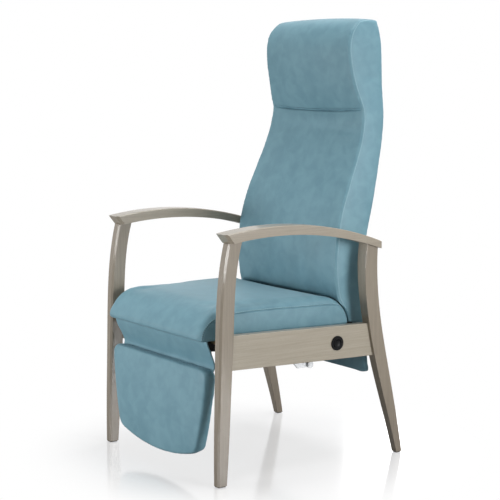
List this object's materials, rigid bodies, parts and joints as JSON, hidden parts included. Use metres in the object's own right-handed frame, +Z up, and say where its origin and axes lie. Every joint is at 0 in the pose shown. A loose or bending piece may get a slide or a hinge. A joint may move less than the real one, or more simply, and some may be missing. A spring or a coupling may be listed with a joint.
{
  "type": "recliner",
  "caption": "High-back rest recliner with a wooden open-arm frame, padded seat and headrest, a back that reclines and lifts the hanging legrest, and a push-button release",
  "frame": {"origin": "on the floor, midway between the left and right sides and midway between the nose of the seat and the rear feet", "axes": "+X towards the sitter's left, where the release button is; -Y the way the sitter faces; +Z up"},
  "size_m": [0.617, 0.6626, 1.2395],
  "materials": {
    "beech_frame": "greige stain, satin lacquer, fine straight grain",
    "plywood": "raw birch plywood",
    "upholstery": "blue-grey synthetic leather, soft matte grain",
    "steel_black": "black powder coat",
    "steel_zinc": "zinc plated",
    "rod_chrome": "polished piston rod",
    "plastic_black": "moulded, fine matte",
    "glide_plastic": "moulded, matte",
    "cable_jacket": "smooth cable jacket"
  },
  "bodies": {
    "frame": {"front_leg_left": "beech_frame", "front_leg_right": "beech_frame", "rear_leg_left": "beech_frame", "rear_leg_right": "beech_frame", "front_glide_left": "glide_plastic", "front_glide_right": "glide_plastic", "rear_glide_left": "glide_plastic", "rear_glide_right": "glide_plastic", "armrest_left": "beech_frame", "armrest_right": "beech_frame", "side_rail_left": "beech_frame", "side_rail_right": "beech_frame", "front_cross_rail": "beech_frame", "seat_board": "plywood", "seat_cushion": "upholstery", "steel_cross_member": "steel_black", "end_plate_left": "steel_zinc", "end_plate_right": "steel_zinc", "stay_bolt_left": "steel_zinc", "stay_bolt_right": "steel_zinc", "rail_screws_left": "steel_zinc", "rail_screws_right": "steel_zinc", "back_bearing_left": "plastic_black", "back_bearing_right": "plastic_black", "legrest_bracket_left": "steel_black", "legrest_bracket_right": "steel_black", "legrest_hinge_pin_left": "steel_zinc", "legrest_hinge_pin_right": "steel_zinc", "gas_spring_bracket": "steel_black", "gas_front_pin": "steel_zinc", "button_bezel": "plastic_black", "release_cable": "cable_jacket", "cable_clip": "plastic_black"},
    "back": {"back_cross_tube": "steel_black", "back_arm_left": "steel_black", "back_arm_right": "steel_black", "back_shell": "upholstery", "back_cushion": "upholstery", "headrest_cushion": "upholstery", "back_lever_left": "steel_black", "back_lever_right": "steel_black", "back_rod_pin_left": "steel_zinc", "back_rod_pin_right": "steel_zinc", "gas_lever_left": "steel_black", "gas_lever_right": "steel_black", "gas_rear_pin": "steel_zinc"},
    "legrest": {"legrest_arm_left": "steel_black", "legrest_arm_right": "steel_black", "legrest_rod_pin_left": "steel_zinc", "legrest_rod_pin_right": "steel_zinc", "legrest_board": "plywood", "legrest_cushion": "upholstery", "legrest_flap": "upholstery"},
    "push_rods": {"push_rod_left": "steel_black", "push_rod_right": "steel_black"},
    "gas_rod": {"release_head": "steel_zinc", "gas_spring_rod": "rod_chrome"},
    "gas_cylinder": {"gas_spring_cylinder": "steel_black"},
    "button": {"release_button": "plastic_black"}
  },
  "joints": [
    {"name": "back_recline", "type": "hinge", "parent": "frame", "child": "back", "pos_m": [0, 0.15, 0.365], "axis": [-1, 0, 0], "range_deg": [0, 32]},
    {"name": "legrest_lift", "type": "hinge", "parent": "frame", "child": "legrest", "pos_m": [0, -0.288, 0.373], "axis": [-1, 0, 0], "range_deg": [0, 70]},
    {"name": "push_rod_turn", "type": "hinge", "parent": "back", "child": "push_rods", "pos_m": [0, 0.16488, 0.31309], "axis": [-1, 0, 0], "range_deg": [-33, 0]},
    {"name": "gas_spring_swing", "type": "hinge", "parent": "frame", "child": "gas_rod", "pos_m": [0, -0.208, 0.318], "axis": [-1, 0, 0], "range_deg": [0, 0.5]},
    {"name": "gas_spring_stroke", "type": "slide", "parent": "gas_rod", "child": "gas_cylinder", "axis": [0, -0.9996, 0.0285], "range_m": [0, 0.03358]},
    {"name": "release_button_press", "type": "slide", "parent": "frame", "child": "button", "axis": [-1, 0, 0], "range_m": [0, 0.006], "stiffness_N_per_m": 1500}
  ],
  "couplings": [
    {"joint": "legrest_lift", "follows": "back_recline", "ratio": 2.1875},
    {"joint": "push_rod_turn", "follows": "back_recline", "ratio": -1.0072},
    {"joint": "gas_spring_swing", "follows": "back_recline", "ratio": 0.013125},
    {"joint": "gas_spring_stroke", "follows": "back_recline", "m_per_rad": 0.059223}
  ]
}
